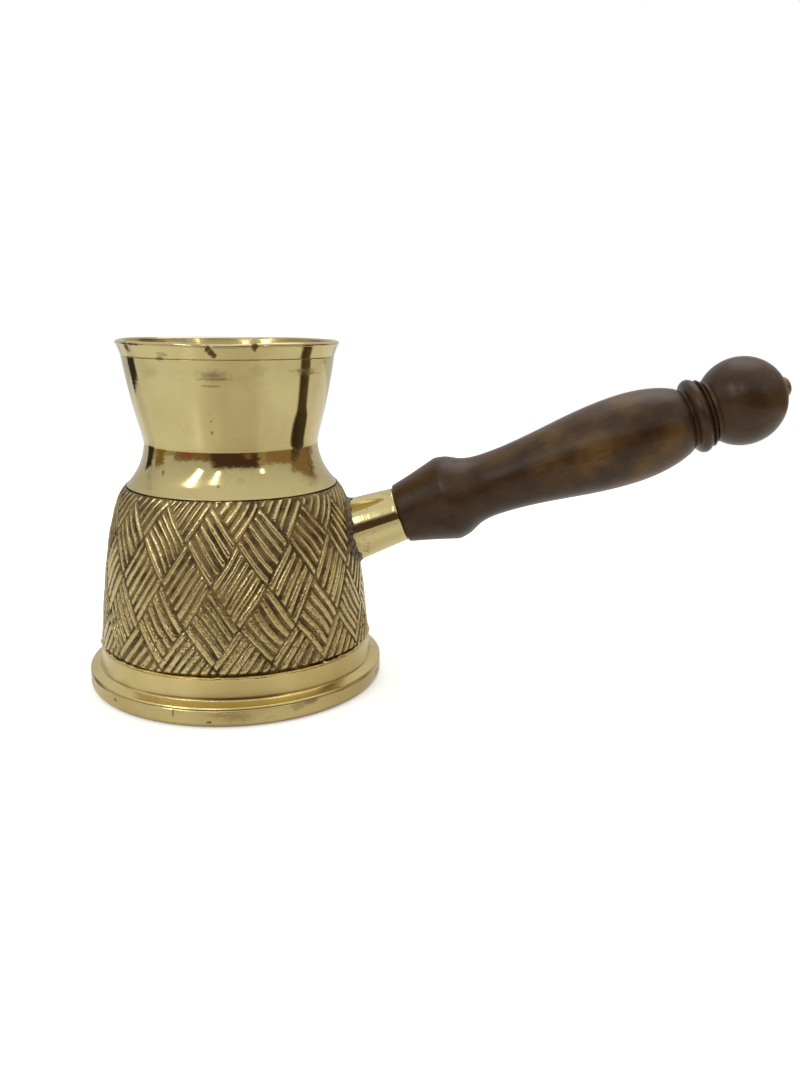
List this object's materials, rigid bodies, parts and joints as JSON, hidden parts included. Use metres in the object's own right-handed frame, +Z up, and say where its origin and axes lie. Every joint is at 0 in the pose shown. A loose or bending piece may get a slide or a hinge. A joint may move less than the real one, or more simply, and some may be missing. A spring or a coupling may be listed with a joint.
{
  "type": "turkish coffee pot",
  "caption": "Brass coffee pot with a wide belly, narrow throat and flared mouth, a woven-pattern band, a thick base and a turned wooden handle tilted upwards.",
  "frame": {"origin": "centre of the flat resting face, on the pot's own axis", "axes": "+Z up along the pot's axis, +X towards the handle, -Y towards the pouring side"},
  "size_m": [0.2046, 0.087, 0.1],
  "materials": {
    "brass": "polished on the turned parts, dark patina in the pattern",
    "base_brass": "turned and polished",
    "socket_brass": "polished",
    "nut_brass": "dull, handled",
    "solder": "soft solder, dull grey",
    "steel": "plain steel",
    "walnut": "dark stained, waxed"
  },
  "bodies": {
    "root": {"pot_body": "brass", "base_disc": "base_brass", "base_solder": "solder", "handle_socket": "socket_brass", "socket_solder": "solder", "rod_anchor": "socket_brass", "tie_rod": "steel", "wooden_handle": "walnut", "rod_washer": "steel", "end_nut": "nut_brass"}
  },
  "joints": []
}
